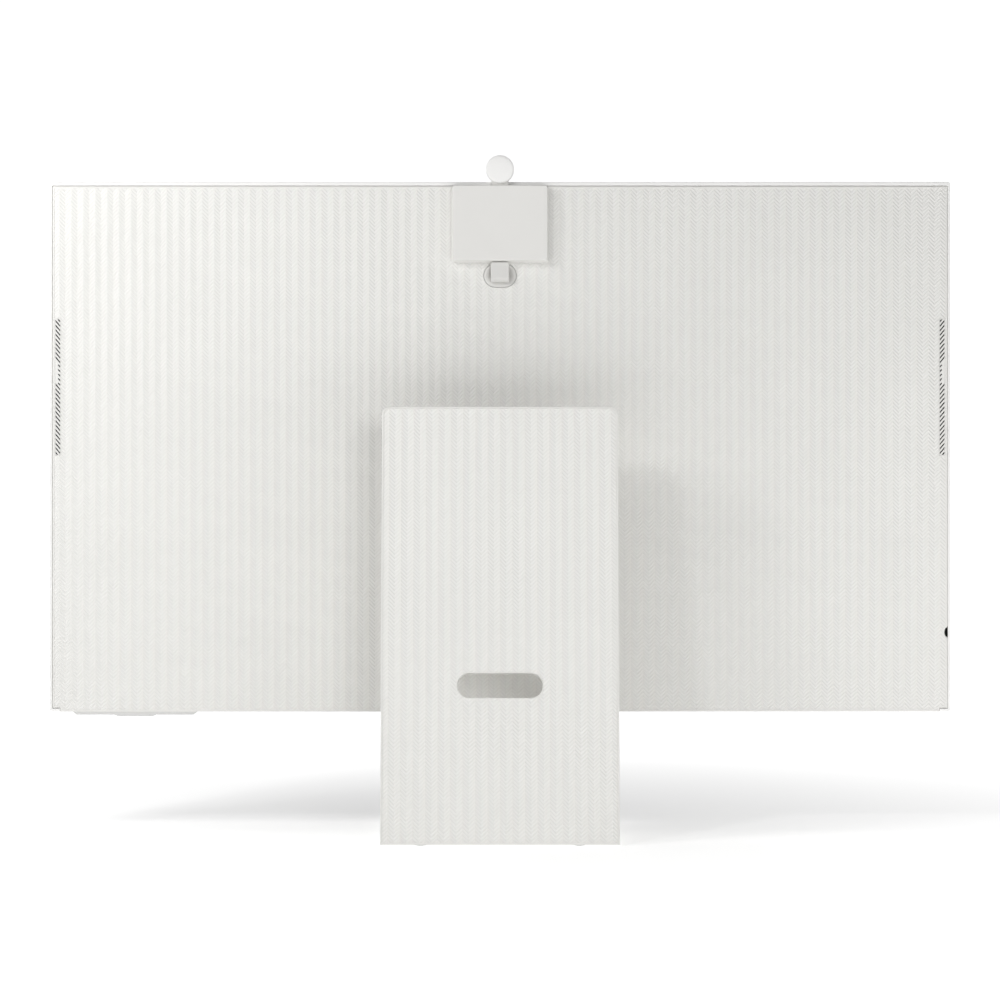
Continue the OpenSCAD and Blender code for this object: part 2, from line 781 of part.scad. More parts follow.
// Tongue that hangs from the block and curves into the socket
module camera_tab() {
    bend = tab_out - camera_y;
    color([0.87, 0.865, 0.85]) intersection() {
        rotate([90, 0, 90]) linear_extrude(tab_w, center = true) {
            translate([camera_y, tab_low + bend]) square([bend, camera_low - tab_low - bend - 0.1]);
            translate([tab_in, tab_low + bend]) square([camera_y - tab_in + e, 5]);
            intersection() {
                translate([camera_y - e, tab_low + bend]) circle(bend + e);
                translate([camera_y - e, tab_low]) square([bend + e, bend + e]);
            }
            translate([tab_in, tab_low]) square([camera_y - tab_in, bend + e]);
        }
        round_plate(tab_w / 2, [tab_low, camera_low], [tab_in - 1, tab_out + 1], 2.4);
    }
}

// A barrel over the screen's upper edge, with a gently domed disc behind the screen
module camera_head() {
    depth = head_back - head_front;
    disc = camera_y - head_front;
    bore = barrel_r - head_wall;
    color(off_white) translate([0, head_front, head_z]) rotate([-90, 0, 0]) rotate_extrude()
        polygon([[0, 5], [bore - 1.5, 5], [bore, 0], [barrel_r - 0.6, 0], [barrel_r, 0.6],
                 [barrel_r, disc], [head_r - 0.3, disc], [head_r, disc + 0.3],
                 [head_r, depth - 1.6], [head_r - 0.6, depth - 0.7], [head_r - 2.2, depth - 0.25], [0, depth]]);
}

module camera_lens() {
    color([0.05, 0.05, 0.08]) translate([0, head_front, head_z]) rotate([-90, 0, 0]) {
        translate([0, 0, 1.2]) cylinder(r = barrel_r - head_wall - 0.7, h = 1);
        translate([0, 0, 2.2 - e]) cylinder(r = 4.5, h = 2.8);
    }
}

base_bottom();
base_weight();
base_cover();
rubber_feet();
base_screws();
upright_housing();
upright_panel();
spine();
slide_rails();
spring_strips();
cable_hole_liner();
carriage();
glide_shoes();
spring_coils();
hinge_pin();
friction_washers();
hinge_nuts();
neck_cover();
hinge_plate();
hinge_screws();
panel_chassis();
reflector_sheet();
light_guide();
led_bar();
optical_sheets();
display_glass();
mid_frame();
front_chin();
rear_cover();
speaker_left();
speaker_right();
grille_left();
grille_right();
main_board();
processor();
memory_chips();
heat_spreader();
storage_module();
radio_card();
antennas();
power_board();
driver_board();
ribbon_cables();
port_bay();
usb_sockets();
video_socket();
power_inlet();
lock_anchor();
camera_socket();
cover_magnets();
control_pod();
button_switch();
power_button();
camera_shell();
camera_plate();
camera_board();
camera_tab();
camera_head();
camera_lens();
camera_magnets();
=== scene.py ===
import json
import math

import bmesh
import bpy
from mathutils import Matrix, Vector


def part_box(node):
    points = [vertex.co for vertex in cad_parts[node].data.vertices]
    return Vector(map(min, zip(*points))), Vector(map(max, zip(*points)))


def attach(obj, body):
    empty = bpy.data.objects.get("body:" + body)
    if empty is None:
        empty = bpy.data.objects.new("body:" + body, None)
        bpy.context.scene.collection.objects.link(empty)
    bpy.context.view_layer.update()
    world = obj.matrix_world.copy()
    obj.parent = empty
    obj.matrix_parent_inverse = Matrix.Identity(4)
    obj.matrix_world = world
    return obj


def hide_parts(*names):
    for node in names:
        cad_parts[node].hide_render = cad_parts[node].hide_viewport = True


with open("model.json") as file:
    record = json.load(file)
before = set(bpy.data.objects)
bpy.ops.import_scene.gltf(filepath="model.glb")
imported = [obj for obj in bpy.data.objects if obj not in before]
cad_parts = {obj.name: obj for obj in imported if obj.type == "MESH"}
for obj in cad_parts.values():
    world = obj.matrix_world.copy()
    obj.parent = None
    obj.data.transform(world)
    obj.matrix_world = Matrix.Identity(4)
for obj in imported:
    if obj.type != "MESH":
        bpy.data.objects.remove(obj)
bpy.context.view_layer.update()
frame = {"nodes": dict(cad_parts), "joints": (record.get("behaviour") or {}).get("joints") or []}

MM = 0.001
JOINTS = {j["name"]: j for j in frame["joints"]}

# Relief of the textured covers
LEG = 4.72 * MM          # width of one leg of the herringbone
PITCH = 3.06 * MM        # distance between two ridges, measured upwards
RIDGE = 0.26 * MM        # height of a ridge over its groove
PLEAT = 0.2 * MM         # how far every second fold between legs stands out
GROOVE_PAINTED_SHADE = 0.06       # painted shade in each groove: how much darker its colour is made
LEG_PAINTED_SHADE = 0.028         # painted shade on every second leg, which side light leaves darker
PAD_INSET = 1.2 * MM     # smooth rim left around the texture
PAD_DEPTH = 0.6 * MM     # how far the textured pad is let into its plate
PAD_BED = 0.05 * MM      # how far the pad sinks into the floor of its pocket

THROUGH = (-1, 1)        # depths of a cutter that passes through everything
CLEAR = 5 * MM           # how far a cutter stands out of the face it cuts


# ---- mesh building ----

def mesh_object(name, bm):
    """Makes an object of a bmesh, with outward normals."""
    bmesh.ops.recalc_face_normals(bm, faces=bm.faces)
    mesh = bpy.data.meshes.new(name)
    bm.to_mesh(mesh)
    bm.free()
    piece = bpy.data.objects.new(name, mesh)
    bpy.context.scene.collection.objects.link(piece)
    return piece


def quarter_turn(steps):
    """Angles from nought to a right angle."""
    return [math.pi / 2 * i / steps for i in range(steps + 1)]


def rounded(x, z, radius, steps=8):
    """A rectangle's contour, anticlockwise, with round corners. The radius is one number or four."""
    radii = radius if isinstance(radius, (list, tuple)) else [radius] * 4
    corners = [(x[1], z[0], -90), (x[1], z[1], 0), (x[0], z[1], 90), (x[0], z[0], 180)]
    points = []
    for (cx, cz, start), r in zip(corners, radii):
        mx = cx - r if cx == x[1] else cx + r
        mz = cz - r if cz == z[1] else cz + r
        if r == 0:
            points.append((cx, cz))
            continue
        for i in range(steps + 1):
            a = math.radians(start + 90 * i / steps)
            points.append((mx + r * math.cos(a), mz + r * math.sin(a)))
    return points


def pill(cx, cz, w, h, steps=16):
    """A long hole's contour with round ends."""
    return rounded((cx - w / 2, cx + w / 2), (cz - h / 2, cz + h / 2), h / 2 - 1e-6, steps)


def moved_in(points, d):
    """The contour moved by d towards its left side."""
    out = []
    n = len(points)
    for i in range(n):
        p, q, r = (Vector(points[(i + k) % n]) for k in (-1, 0, 1))
        a = (q - p).normalized()
        b = (r - q).normalized()
        na, nb = Vector((-a.y, a.x)), Vector((-b.y, b.x))
        shift = (na + nb) / max(1 + na.dot(nb), 0.2)
        out.append(tuple(q + shift * d))
    return out


def edge_levels(y0, y1, r, steps):
    """Pairs of inset and depth that round both edges of a wall."""
    first = [(r * (1 - math.sin(a)), r * (1 - math.cos(a))) for a in quarter_turn(steps)]
    return [(inset, y0 + d) for inset, d in first] + [(inset, y1 - d) for inset, d in reversed(first)]


def shell(name, contours, depths, edge, steps=3):
    """A plate across Y between two depths. Its first contour is the outside and the rest are holes."""
    bm = bmesh.new()
    caps = ([], [])
    levels = edge_levels(depths[0], depths[1], edge, steps)
    for k, contour in enumerate(contours):
        loop = contour if k == 0 else list(reversed(contour))
        rings = []
        for inset, y in levels:
            rings.append([bm.verts.new((x, y, z)) for x, z in moved_in(loop, inset)])
        n = len(loop)
        for a, b in zip(rings, rings[1:]):
            for i in range(n):
                bm.faces.new((a[i], a[(i + 1) % n], b[(i + 1) % n], b[i]))
        for cap, ring in zip(caps, (rings[0], rings[-1])):
            cap.extend(bm.edges.get((ring[i], ring[(i + 1) % n])) for i in range(n))
    for cap in caps:
        bmesh.ops.triangle_fill(bm, use_beauty=True, use_dissolve=False, edges=cap)
    return mesh_object(name, bm)


def loft(name, rings):
    """A closed solid through rings of points with the same count."""
    bm = bmesh.new()
    loops = [[bm.verts.new(p) for p in ring] for ring in rings]
    n = len(rings[0])
    for a, b in zip(loops, loops[1:]):
        for i in range(n):
            bm.faces.new((a[i], a[(i + 1) % n], b[(i + 1) % n], b[i]))
    bm.faces.new(loops[0])
    bm.faces.new(loops[-1])
    return mesh_object(name, bm)


def lathe(name, profile, centre, segments=96):
    """Turns a profile of radius and depth about an axis along Y. Its ends lie on the axis."""
    bm = bmesh.new()
    rows = []
    for r, y in profile:
        if r == 0:
            rows.append([bm.verts.new((centre.x, y, centre.z))])
            continue
        turn = [2 * math.pi * i / segments for i in range(segments)]
        rows.append([bm.verts.new((centre.x + r * math.cos(a), y, centre.z + r * math.sin(a))) for a in turn])
    for a, b in zip(rows, rows[1:]):
        for i in range(segments):
            j = (i + 1) % segments
            corners = [a[i % len(a)], a[j % len(a)], b[j % len(b)], b[i % len(b)]]
            bm.faces.new(list(dict.fromkeys(corners)))
    return mesh_object(name, bm)


def block(lo, hi):
    """A plain cutter between two corners."""
    bm = bmesh.new()
    size = Vector(hi) - Vector(lo)
    bmesh.ops.create_cube(bm, size=1)
    bmesh.ops.scale(bm, vec=size, verts=bm.verts)
    bmesh.ops.translate(bm, vec=(Vector(lo) + Vector(hi)) / 2, verts=bm.verts)
    return mesh_object("cutter", bm)


def prism(contour, depths):
    """A sharp-edged cutter with the contour's outline."""
    return loft("cutter", [[(x, y, z) for x, z in contour] for y in depths])


def combine(piece, tools, operation="DIFFERENCE"):
    """Cuts the piece with each tool, or keeps what is inside them, and deletes the tools."""
    for tool in tools:
        step = piece.modifiers.new("cut", "BOOLEAN")
        step.operation = operation
        step.solver = "MANIFOLD"
        step.object = tool
    bpy.context.view_layer.update()
    seen = piece.evaluated_get(bpy.context.evaluated_depsgraph_get())
    mesh = bpy.data.meshes.new_from_object(seen)
    old = piece.data
    piece.modifiers.clear()
    piece.data = mesh
    bpy.data.meshes.remove(old)
    for tool in tools:
        bpy.data.objects.remove(tool)
    return piece


def place(piece, matrix):
    """Moves a piece's mesh."""
    piece.data.transform(matrix)
    return piece


def soften(piece, angle=40):
    """Smooth shading that keeps flat faces flat and corners sharp."""
    for face in piece.data.polygons:
        face.use_smooth = True
    piece.data.set_sharp_from_angle(angle=math.radians(angle))
    normals = piece.modifiers.new("normals", "WEIGHTED_NORMAL")
    normals.keep_sharp = True
    return piece


def finish_piece(piece, material, body, slot, *nodes):
    """Gives a piece its material and its body, and hides the CAD nodes it stands for."""
    piece.data.materials.clear()
    piece.data.materials.append(material)
    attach(piece, body)
    if nodes:
        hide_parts(*nodes)
    return piece


def weave_grid(x, z):
    """Where the folds and ridges that cover an area start, and how many there are."""
    columns = math.ceil((x[1] - x[0]) / LEG / 2) * 2 + 2
    rows = math.ceil((z[1] - z[0]) / (PITCH / 2) / 2) * 2 + 8
    return (x[0] + x[1] - columns * LEG) / 2, (z[0] + z[1] - rows * PITCH / 2) / 2, columns, rows


def herringbone(name, x, z, top, base):
    """A solid whose rear face is folded into legs of slanted ridges, from depth base to depth top."""
    left, low, columns, rows = weave_grid(x, z)
    bm = bmesh.new()
    grid = []
    for i in range(columns + 1):
        rise = LEG / 2 if i % 2 else -LEG / 2
        fold = 0 if i % 2 else PLEAT
        column = []
        for j in range(rows + 1):
            depth = top - fold - (RIDGE if j % 2 else 0)
            column.append(bm.verts.new((left + i * LEG, depth, low + rise + j * PITCH / 2)))
        grid.append(column)
    for a, b in zip(grid, grid[1:]):
        for j in range(rows):
            bm.faces.new((a[j], b[j], b[j + 1], a[j + 1]))
    rim = [c[0] for c in grid] + grid[-1][1:] + [c[-1] for c in reversed(grid[:-1])] + grid[0][-2:0:-1]
    under = [bm.verts.new((v.co.x, base, v.co.z)) for v in rim]
    n = len(rim)
    for i in range(n):
        bm.faces.new((rim[i], rim[(i + 1) % n], under[(i + 1) % n], under[i]))
    bm.faces.new(under)
    return mesh_object(name, bm)


def weave_pad(plate, name, area, contour, holes, top):
    """Cuts a pocket in a plate and returns the textured pad that fills it."""
    pocket = prism(contour, (top - PAD_DEPTH, top + CLEAR))
    combine(pocket, [prism(hole, THROUGH) for hole in holes])
    combine(plate, [pocket])
    relief = herringbone(name, *area, top, top - PAD_DEPTH - PAD_BED)
    combine(relief, [prism(contour, THROUGH)], "INTERSECT")
    combine(relief, [prism(hole, THROUGH) for hole in holes])
    return relief


# ---- materials ----

def material_base(name):
    """A new material, its node tree and its shader."""
    mat = bpy.data.materials.new(name)
    mat.use_nodes = True
    tree = mat.node_tree
    return mat, tree, tree.nodes["Principled BSDF"]


def texture(tree, kind, scale, stretch=(1, 1, 1), **values):
    """A 3D texture in the object's own metres."""
    place_node = tree.nodes.new("ShaderNodeTexCoord")
    mapping = tree.nodes.new("ShaderNodeMapping")
    mapping.inputs["Scale"].default_value = stretch
    node = tree.nodes.new(kind)
    node.inputs["Scale"].default_value = scale
    for key, value in values.items():
        node.inputs[key].default_value = value
    tree.links.new(place_node.outputs["Object"], mapping.inputs["Vector"])
    tree.links.new(mapping.outputs["Vector"], node.inputs["Vector"])
    return node


def spread(tree, source, low, high):
    """Maps a texture's middle range to a range of values."""
    node = tree.nodes.new("ShaderNodeMapRange")
    node.inputs["From Min"].default_value = 0.3
    node.inputs["From Max"].default_value = 0.7
    node.inputs["To Min"].default_value = low
    node.inputs["To Max"].default_value = high
    tree.links.new(source, node.inputs["Value"])
    return node.outputs["Result"]


def ramp(tree, source, stops):
    """Turns a texture into colours. Each stop is a position and a colour."""
    node = tree.nodes.new("ShaderNodeValToRGB")
    band = node.color_ramp
    while len(band.elements) < len(stops):
        band.elements.new(0.5)
    for element, (at, colour) in zip(band.elements, stops):
        element.position = at
        element.color = (*colour, 1)
    tree.links.new(source, node.inputs["Fac"])
    return node.outputs["Color"]


def bump(tree, shader, source, distance):
    """Fine relief in the shading, as high as the distance."""
    node = tree.nodes.new("ShaderNodeBump")
    node.inputs["Distance"].default_value = distance
    node.inputs["Strength"].default_value = 1.0
    tree.links.new(source, node.inputs["Height"])
    tree.links.new(node.outputs["Normal"], shader.inputs["Normal"])


def shade(colour, k):
    """The colour times k."""
    return tuple(c * k for c in colour)


def moulded(name, colour, rough=(0.42, 0.5), tone=0.012, grain=0.012 * MM, specular=0.5):
    """Moulded plastic: a fine spark-eroded grain, and faint tone and gloss variation."""
    mat, tree, shader = material_base(name)
    cloud = texture(tree, "ShaderNodeTexNoise", 14, Detail=4.0)
    tint = ramp(tree, cloud.outputs["Fac"], [(0.3, shade(colour, 1 - tone)), (0.7, shade(colour, 1 + tone))])
    tree.links.new(tint, shader.inputs["Base Color"])
    patch = texture(tree, "ShaderNodeTexNoise", 60, Detail=3.0)
    tree.links.new(spread(tree, patch.outputs["Fac"], *rough), shader.inputs["Roughness"])
    fine = texture(tree, "ShaderNodeTexNoise", 2600, Detail=2.0)
    bump(tree, shader, fine.outputs["Fac"], grain)
    shader.inputs["Specular IOR Level"].default_value = specular
    return mat


def calc(tree, operation, *terms):
    """A math node on sockets and numbers."""
    node = tree.nodes.new("ShaderNodeMath")
    node.operation = operation
    for socket, term in zip(node.inputs, terms):
        if isinstance(term, (int, float)):
            socket.default_value = term
        else:
            tree.links.new(term, socket)
    return node.outputs["Value"]


def woven_with_painted_shade(name, colour, x, z, to_local):
    """Moulded plastic with painted shade: its grooves, and every second leg of the relief, are coloured
    darker to stand in for shade.
    """
    mat = moulded(name, colour, rough=(0.45, 0.53), grain=0.008 * MM)
    tree = mat.node_tree
    shader = tree.nodes["Principled BSDF"]
    left, low, _, _ = weave_grid(x, z)
    spot = tree.nodes.new("ShaderNodeTexCoord")
    mapping = tree.nodes.new("ShaderNodeMapping")
    mapping.inputs["Location"].default_value = to_local.to_translation()
    mapping.inputs["Rotation"].default_value = to_local.to_euler()
    tree.links.new(spot.outputs["Object"], mapping.inputs["Vector"])
    split = tree.nodes.new("ShaderNodeSeparateXYZ")
    tree.links.new(mapping.outputs["Vector"], split.inputs["Vector"])
    legs = calc(tree, "DIVIDE", calc(tree, "SUBTRACT", split.outputs["X"], left), LEG)
    rise = calc(tree, "MULTIPLY", calc(tree, "SUBTRACT", calc(tree, "PINGPONG", legs, 1.0), 0.5), LEG)
    height = calc(tree, "SUBTRACT", calc(tree, "SUBTRACT", split.outputs["Z"], low), rise)
    groove = calc(tree, "PINGPONG", calc(tree, "DIVIDE", height, PITCH / 2), 1.0)
    turned = calc(tree, "LESS_THAN", calc(tree, "FLOORED_MODULO", legs, 2.0), 1.0)
    # painted shade: the colour is darkened in the grooves and on every second leg
    lightest = 1.0 + (GROOVE_PAINTED_SHADE + LEG_PAINTED_SHADE) / 2
    tone = calc(tree, "SUBTRACT", lightest, calc(tree, "MULTIPLY", groove, GROOVE_PAINTED_SHADE))
    tone = calc(tree, "SUBTRACT", tone, calc(tree, "MULTIPLY", turned, LEG_PAINTED_SHADE))
    scale = tree.nodes.new("ShaderNodeVectorMath")
    scale.operation = "SCALE"
    tree.links.new(shader.inputs["Base Color"].links[0].from_socket, scale.inputs[0])
    tree.links.new(tone, scale.inputs["Scale"])
    tree.links.new(scale.outputs["Vector"], shader.inputs["Base Color"])
    return mat


def metal(name, colour, rough, stretch, tone=0.12):
    """Drawn or brushed metal: fine lines along the part."""
    mat, tree, shader = material_base(name)
    lines = texture(tree, "ShaderNodeTexNoise", 900, stretch, Detail=4.0)
    stops = [(0.25, shade(colour, 1 - tone)), (0.75, shade(colour, 1 + tone / 2))]
    tint = ramp(tree, lines.outputs["Fac"], stops)
    tree.links.new(tint, shader.inputs["Base Color"])
    tree.links.new(spread(tree, lines.outputs["Fac"], *rough), shader.inputs["Roughness"])
    bump(tree, shader, lines.outputs["Fac"], 0.01 * MM)
    shader.inputs["Metallic"].default_value = 1.0
    return mat


def circuit(name, colour):
    """A lacquered circuit board with a faint net of tracks."""
    mat, tree, shader = material_base(name)
    tracks = texture(tree, "ShaderNodeTexVoronoi", 420)
    tint = ramp(tree, tracks.outputs["Distance"], [(0.1, shade(colour, 1.8)), (0.35, colour)])
    tree.links.new(tint, shader.inputs["Base Color"])
    cloud = texture(tree, "ShaderNodeTexNoise", 200, Detail=2.0)
    tree.links.new(spread(tree, cloud.outputs["Fac"], 0.25, 0.4), shader.inputs["Roughness"])
    bump(tree, shader, tracks.outputs["Distance"], 0.02 * MM)
    return mat


WHITE = (0.86, 0.852, 0.825)
# painted light: the upright and the foot use a lighter copy of the casing white, brighter as if lit more
LIT_UPRIGHT_WHITE = shade(WHITE, 1.05)
white_casing = moulded("white_casing", WHITE)
upright_casing = moulded("upright_casing", LIT_UPRIGHT_WHITE, rough=(0.45, 0.53), grain=0.008 * MM)
camera_casing = moulded("camera_casing", shade(WHITE, 0.99), rough=(0.36, 0.42), grain=0.005 * MM)
# painted shade: the camera tab and the socket dish use a darker copy of the casing white, as if in the
# block's shade
socket_casing = moulded("socket_casing", shade(WHITE, 0.88), rough=(0.3, 0.36), grain=0.003 * MM)
# painted light: the camera head uses a lighter copy of the casing white, brighter as if lit from above
head_casing = moulded("head_casing", (0.985, 0.98, 0.965), rough=(0.4, 0.48), grain=0.004 * MM)
# painted light: the frame uses a lighter copy of the casing white, brighter as if its edge catches the light
rim_casing = moulded("rim_casing", (0.965, 0.96, 0.945), rough=(0.4, 0.48), grain=0.004 * MM)
pod_casing = moulded("pod_casing", (0.76, 0.76, 0.745), rough=(0.28, 0.34), grain=0.004 * MM)
dark_casing = moulded("dark_casing", (0.028, 0.028, 0.03), rough=(0.5, 0.62), tone=0.15, grain=0.03 * MM)
# painted shade: near-black plastic for the cup that darkens the inside of the security slot
black_pocket = moulded("black_pocket", (0.006, 0.006, 0.006), rough=(0.6, 0.7), tone=0.1)
feet_rubber = moulded("feet_rubber", (0.42, 0.42, 0.41), rough=(0.75, 0.9), tone=0.08, grain=0.05 * MM)
glide_plastic = moulded("glide_plastic", (0.72, 0.71, 0.66), rough=(0.35, 0.45), tone=0.03)
sheet_plastic = moulded("sheet_plastic", (0.8, 0.82, 0.84), rough=(0.2, 0.3), tone=0.02, grain=0.002 * MM)
weight_steel = metal("weight_steel", (0.16, 0.165, 0.17), (0.5, 0.65), (1, 1, 1), tone=0.2)
bright_steel = metal("bright_steel", (0.56, 0.57, 0.58), (0.25, 0.38), (0.04, 1, 1))
chassis_metal = metal("chassis_metal", (0.66, 0.67, 0.68), (0.35, 0.48), (0.03, 1, 1))
bronze = metal("bronze", (0.62, 0.42, 0.18), (0.25, 0.4), (1, 1, 1))
green_board = circuit("green_board", (0.012, 0.09, 0.045))
blue_board = circuit("blue_board", (0.01, 0.04, 0.12))

CAD_LOOKS = {
    white_casing: ["grille_left", "grille_right", "port_bay", "cable_hole_liner"],
    camera_casing: ["camera_plate"],
    dark_casing: ["base_bottom", "speaker_left", "speaker_right", "hinge_screws", "power_inlet",
                  "button_switch", "memory_chips"],
    weight_steel: ["base_weight", "spine", "carriage"],
    bright_steel: ["slide_rails", "hinge_pin", "hinge_nuts", "hinge_plate", "spring_strips", "spring_coils",
                   "base_screws", "lock_anchor", "usb_sockets", "video_socket", "cover_magnets",
                   "camera_magnets"],
    chassis_metal: ["panel_chassis", "heat_spreader"],
    bronze: ["friction_washers", "antennas"],
    glide_plastic: ["glide_shoes"],
    sheet_plastic: ["light_guide", "optical_sheets", "reflector_sheet", "ribbon_cables"],
    green_board: ["main_board", "power_board", "driver_board", "camera_board", "led_bar", "processor"],
    blue_board: ["storage_module", "radio_card"],
}


def dress_cad_nodes():
    """Gives the inner parts, which keep their CAD meshes, their materials."""
    for look, names in CAD_LOOKS.items():
        for name in names:
            node = frame["nodes"][name]
            node.data.materials.clear()
            node.data.materials.append(look)


# ---- screen casing ----

FRAME_LO, FRAME_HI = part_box("mid_frame")
COVER_LO, COVER_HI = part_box("rear_cover")
REAR = COVER_HI.y
COVER_T = 1.8 * MM         # thickness of the rear cover
WRAP = 8 * MM              # the frame wraps this much of each lower corner
WRAP_GAP = 0.6 * MM        # gap between that corner and the cover
FRAME_WALL = 1.7 * MM      # thickness of the frame at the sides
FRAME_TOP = 2.9 * MM       # and at the top
FRAME_BOTTOM = 2.1 * MM    # and at the bottom
CORNER_GAP = 3.0 * MM      # height of the cover's notch at each lower corner
SEAM_DEPTH = 0.9 * MM      # depth of the line between the cover and the frame
LOCK_HALF = 4.3 * MM       # half the height of the security slot
LOCK_DEPTH = 2.5 * MM      # how far the slot reaches into the cover's edge
TONGUE = FRAME_HI.x - WRAP - WRAP_GAP    # half the width of the cover between the lower corners


def grown(node, margin=0.0):
    """A CAD node's extent in X and Z with a margin."""
    lo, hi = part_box(node)
    return (lo.x - margin, hi.x + margin), (lo.z - margin, hi.z + margin)


def lock_slot(x, z, depth, half):
    """The security slot's round side: half an ellipse from its upper end to its lower end."""
    turn = [math.pi * i / 10 for i in range(11)]
    return [(x + depth * math.sin(a), z + half * math.cos(a)) for a in turn]


def cover_contour():
    """The rear cover's outline: a rectangle with stepped lower corners and the lock slot."""
    half = COVER_HI.x
    low, top = COVER_LO.z, COVER_HI.z + 0.2 * MM
    step = low + CORNER_GAP
    anchor_lo, anchor_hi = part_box("lock_anchor")
    lock = lock_slot(-half, (anchor_lo.z + anchor_hi.z) / 2, LOCK_DEPTH, LOCK_HALF)
    right = [(TONGUE, low), (TONGUE, step), (half, step), (half, top)]
    return right + [(-half, top), *lock, (-half, step), (-TONGUE, step), (-TONGUE, low)]


def cover_holes():
    """Contours of the cover's openings."""
    socket_lo, socket_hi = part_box("camera_socket")
    seam = 0.3 * MM
    centre = (socket_lo + socket_hi) / 2
    size = socket_hi - socket_lo
    holes = [pill(centre.x, centre.z, size.x + 2 * seam, size.z + 2 * seam)]
    holes.append(rounded(*grown("grille_left", 0.1 * MM), 0))
    holes.append(rounded(*grown("grille_right", 0.1 * MM), 0))
    holes.append(rounded(*grown("hinge_plate", 1 * MM), 3 * MM))
    holes.append(rounded(*grown("port_bay", 0.15 * MM), 0))
    return holes


def make_rear_cover():
    """The cover's plate and textured pad, the ledge in the seam around it and the lip at its foot."""
    outside = cover_contour()
    holes = cover_holes()
    plate = shell("rear_cover", [outside] + holes, (REAR - COVER_T, REAR), 0.3 * MM)
    ledge = shell("ledge", [moved_in(outside, -0.5 * MM)] + holes,
                  (REAR - COVER_T, REAR - SEAM_DEPTH), 0.05 * MM, 1)
    lip = shell("lip", [rounded((-TONGUE, TONGUE), (COVER_LO.z, COVER_LO.z + 1.6 * MM), 0)],
                (REAR - 3.6 * MM, REAR - COVER_T + 0.4 * MM), 0.2 * MM)
    area = ((-COVER_HI.x, COVER_HI.x), (COVER_LO.z, COVER_HI.z))
    pad_holes = [moved_in(hole, -0.45 * MM) for hole in holes]
    relief = weave_pad(plate, "rear_cover_weave", area, moved_in(outside, PAD_INSET), pad_holes, REAR)
    for piece in (ledge, plate, lip):
        finish_piece(soften(piece), white_casing, "screen", "white_casing", "rear_cover")
    weave = woven_with_painted_shade("weave_casing", WHITE, *area, Matrix())
    finish_piece(relief, weave, "screen", "white_casing", "rear_cover")


def make_frame():
    """The frame around the cover, open under the cover's lower edge and at the power button."""
    x = (FRAME_LO.x, FRAME_HI.x)
    z = (FRAME_LO.z, FRAME_HI.z)
    inner = rounded((x[0] + FRAME_WALL, x[1] - FRAME_WALL), (z[0] + FRAME_BOTTOM, z[1] - FRAME_TOP),
                    0.6 * MM, 4)
    ring = shell("mid_frame", [rounded(x, z, 1.8 * MM), inner], (FRAME_LO.y, FRAME_HI.y), 0.45 * MM)
    reach = FRAME_HI.x - WRAP
    button_lo, button_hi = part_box("power_button")
    gap = 1 * MM
    low, high = z[0] - gap, z[0] + 3 * MM
    combine(ring, [
        block((-reach, REAR - 3.8 * MM, low), (reach, REAR + gap, high)),
        block((button_lo.x - gap, button_lo.y - gap, low), (button_hi.x + gap, button_hi.y + gap / 2, high)),
    ])
    finish_piece(soften(ring), rim_casing, "screen", "white_casing", "mid_frame")


def make_lock_pocket():
    """A near-black cup behind the security slot: painted shade for the slot's inside."""
    lo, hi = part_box("lock_anchor")
    mid = (lo.z + hi.z) / 2
    half = 5 * MM
    x = (-FRAME_HI.x + FRAME_WALL + 0.05 * MM, lo.x + 4 * MM)
    cup = shell("lock_pocket", [rounded(x, (mid - half, mid + half), 0.5 * MM, 3)],
                (REAR - 5 * MM, REAR - SEAM_DEPTH), 0.1 * MM)
    opening = lock_slot(x[0] + 0.1 * MM, mid, LOCK_DEPTH + 0.5 * MM, LOCK_HALF)
    combine(cup, [prism(opening[::-1], (REAR - 4.5 * MM, REAR))])
    finish_piece(soften(cup), black_pocket, "screen", "dark_plastic")


# ---- screen front ----

def display_material():
    """Dark glass: a picture area with a faint grain inside a deeper black border."""
    mat, tree, shader = material_base("display_face")
    grain = texture(tree, "ShaderNodeTexNoise", 1800, Detail=1.0)
    tint = ramp(tree, grain.outputs["Fac"], [(0.3, (0.006, 0.006, 0.007)), (0.7, (0.009, 0.009, 0.011))])
    tree.links.new(tint, shader.inputs["Base Color"])
    smear = texture(tree, "ShaderNodeTexNoise", 5, Detail=5.0)
    tree.links.new(spread(tree, smear.outputs["Fac"], 0.16, 0.22), shader.inputs["Roughness"])
    bump(tree, shader, grain.outputs["Fac"], 0.002 * MM)
    return mat


def make_front():
    """The glass, the black border printed on it and the strip under it."""
    lo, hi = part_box("display_glass")
    border = 6.3 * MM
    edge = 0.3 * MM            # rim of bare glass around the border
    outline = rounded((lo.x, hi.x), (lo.z, hi.z), 0.8 * MM, 4)
    glass = shell("display_glass", [outline], (lo.y, hi.y), 0.25 * MM)
    finish_piece(soften(glass), display_material(), "screen", "display_face", "display_glass")
    mask = moulded("border_ink", (0.004, 0.004, 0.004), rough=(0.1, 0.14), tone=0.1, grain=0.001 * MM)
    outer = rounded((lo.x + edge, hi.x - edge), (lo.z + edge, hi.z - edge), 0.6 * MM, 4)
    inner = rounded((lo.x + border, hi.x - border), (lo.z + border, hi.z - border), 0.3 * MM, 4)
    ink = shell("display_border", [outer, inner], (lo.y - 0.04 * MM, lo.y + 0.2 * MM), 0.02 * MM)
    finish_piece(soften(ink), mask, "screen", "display_face")
    lo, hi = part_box("front_chin")
    chin = shell("front_chin", [rounded((lo.x, hi.x), (lo.z, hi.z), 0.5 * MM, 4)], (lo.y, hi.y), 0.25 * MM)
    finish_piece(soften(chin), white_casing, "screen", "white_casing", "front_chin")


# ---- camera ----

CAMERA_H = 60.7 * MM       # height of the block without its neck
CAMERA_T = 7 * MM          # thickness of the block
DISC_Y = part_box("camera_shell")[0].y     # depth of the block's front face


